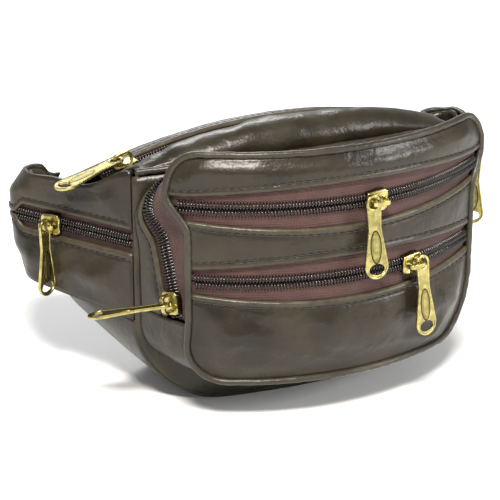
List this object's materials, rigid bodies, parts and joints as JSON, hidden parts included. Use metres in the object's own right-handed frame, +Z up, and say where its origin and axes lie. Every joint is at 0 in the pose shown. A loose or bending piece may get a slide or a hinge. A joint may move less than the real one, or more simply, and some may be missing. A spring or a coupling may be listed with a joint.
{
  "type": "waist pack",
  "caption": "Leather waist pack: a zipped half-moon main compartment, a boxed front pouch with zipped face pockets, zipped side wings folded back, and a buckled webbing belt behind.",
  "frame": {"origin": "middle of the flat base that the pack stands on", "axes": "+X towards the wearer's left hand when worn in front, which is the right in a front view; -Y out of the front pouch; +Y towards the wearer; +Z up"},
  "size_m": [0.221, 0.1354, 0.1194],
  "materials": {
    "leather": "semi-matt, dark olive brown",
    "piping_leather": "semi-matt, a little lighter",
    "zip_tape": "woven, maroon",
    "lining": "woven, near black",
    "foam": "foam pad under lining",
    "brass": "polished",
    "webbing": "woven, black",
    "elastic": "knitted, black",
    "acetal": "fine texture, black"
  },
  "bodies": {
    "pack": {"buckle_plug": "acetal", "elastic_keeper": "elastic", "left_webbing": "webbing", "left_wing_inner_panel": "lining", "left_wing_lower_panel": "leather", "left_wing_upper_panel": "leather", "left_wing_zip_bottom_tape": "zip_tape", "left_wing_zip_top_tape": "zip_tape", "lower_zip_bottom_tape": "zip_tape", "lower_zip_top_tape": "zip_tape", "main_back_foam": "foam", "main_back_panel": "leather", "main_bottom_gusset": "leather", "main_front_panel": "leather", "main_top_front_strip": "leather", "main_top_piping": "piping_leather", "main_top_rear_strip": "leather", "main_zip_front_tape": "zip_tape", "main_zip_rear_tape": "zip_tape", "pouch_divider": "lining", "pouch_gusset_rear_strip": "leather", "pouch_lower_gusset": "leather", "pouch_lower_panel": "leather", "pouch_middle_band": "leather", "pouch_piping": "piping_leather", "pouch_top_band": "leather", "pouch_zip_front_tape": "zip_tape", "pouch_zip_rear_tape": "zip_tape", "right_webbing": "webbing", "right_wing_inner_panel": "lining", "right_wing_lower_panel": "leather", "right_wing_upper_panel": "leather", "right_wing_zip_bottom_tape": "zip_tape", "right_wing_zip_top_tape": "zip_tape", "upper_zip_bottom_tape": "zip_tape", "upper_zip_top_tape": "zip_tape", "webbing_hank": "webbing"},
    "upper_slider": {"upper_slider": "brass"},
    "upper_pull": {"upper_pull": "brass"},
    "lower_slider": {"lower_slider": "brass"},
    "lower_pull": {"lower_pull": "brass"},
    "main_slider": {"main_slider": "brass"},
    "main_pull": {"main_pull": "brass"},
    "pouch_slider": {"pouch_slider": "brass"},
    "pouch_pull": {"pouch_pull": "brass"},
    "left_wing_slider": {"left_wing_slider": "brass"},
    "left_wing_pull": {"left_wing_pull": "brass"},
    "right_wing_slider": {"right_wing_slider": "brass"},
    "right_wing_pull": {"right_wing_pull": "brass"},
    "buckle_socket": {"buckle_socket": "acetal"},
    "buckle_upper_prong": {"buckle_upper_prong": "acetal"},
    "buckle_lower_prong": {"buckle_lower_prong": "acetal"}
  },
  "joints": [
    {"name": "upper_zip_travel", "type": "hinge", "parent": "pack", "child": "upper_slider", "pos_m": [0, 0.046, 0.096], "axis": [0, 0, 1], "range_deg": [-35.9, 27.1]},
    {"name": "lower_zip_travel", "type": "hinge", "parent": "pack", "child": "lower_slider", "pos_m": [0, 0.046, 0.065], "axis": [0, 0, 1], "range_deg": [-44.5, 16.4]},
    {"name": "main_zip_travel", "type": "hinge", "parent": "pack", "child": "main_slider", "pos_m": [0, 0.0078, -0.127], "axis": [0, 1, 0], "range_deg": [-0.9, 36]},
    {"name": "pouch_zip_travel", "type": "slide", "parent": "pack", "child": "pouch_slider", "axis": [-0.0857, 0.2169, 0.9724], "range_m": [0, 0.02]},
    {"name": "left_wing_zip_travel", "type": "slide", "parent": "pack", "child": "left_wing_slider", "axis": [0.5446, -0.8387, 0], "range_m": [-0.008, 0.031]},
    {"name": "right_wing_zip_travel", "type": "slide", "parent": "pack", "child": "right_wing_slider", "axis": [-0.5446, -0.8387, 0], "range_m": [-0.008, 0.031]},
    {"name": "upper_pull_swing", "type": "hinge", "parent": "upper_slider", "child": "upper_pull", "pos_m": [0.00534, -0.06695, 0.096], "axis": [0.0764, -0.9873, 0.1392], "range_deg": [-80, 42]},
    {"name": "lower_pull_swing", "type": "hinge", "parent": "lower_slider", "child": "lower_pull", "pos_m": [0.03076, -0.06281, 0.065], "axis": [0.2406, -0.9606, 0.1392], "range_deg": [-42, 80]},
    {"name": "main_pull_swing", "type": "hinge", "parent": "main_slider", "child": "main_pull", "pos_m": [-0.07485, 0.0078, 0.10118], "axis": [-0.1705, 0.0476, 0.9842], "range_deg": [-110, 5]},
    {"name": "pouch_pull_swing", "type": "hinge", "parent": "pouch_slider", "child": "pouch_pull", "pos_m": [-0.072, -0.03558, 0.05343], "axis": [-0.0857, 0.2169, 0.9724], "range_deg": [-18, 85]},
    {"name": "left_wing_pull_swing", "type": "hinge", "parent": "left_wing_slider", "child": "left_wing_pull", "pos_m": [-0.10294, 0.01862, 0.073], "axis": [0.5446, -0.8387, 0], "range_deg": [-95, 0]},
    {"name": "right_wing_pull_swing", "type": "hinge", "parent": "right_wing_slider", "child": "right_wing_pull", "pos_m": [0.10294, 0.01862, 0.073], "axis": [-0.5446, -0.8387, 0], "range_deg": [0, 95]},
    {"name": "buckle_release", "type": "slide", "parent": "pack", "child": "buckle_socket", "axis": [-1, 0, 0], "range_m": [0, 0.024], "deforming": ["left_webbing", "buckle_upper_prong", "buckle_lower_prong"]},
    {"name": "upper_prong_squeeze", "type": "hinge", "parent": "pack", "child": "buckle_upper_prong", "pos_m": [0.0081, 0.04987, 0.07994], "axis": [0, -1, 0], "range_deg": [0, 8], "stiffness_Nm_per_rad": 1.2},
    {"name": "lower_prong_squeeze", "type": "hinge", "parent": "pack", "child": "buckle_lower_prong", "pos_m": [0.0081, 0.04987, 0.05206], "axis": [0, 1, 0], "range_deg": [0, 8], "stiffness_Nm_per_rad": 1.2}
  ],
  "couplings": [
    {"joint": "lower_prong_squeeze", "follows": "upper_prong_squeeze", "ratio": 1}
  ]
}
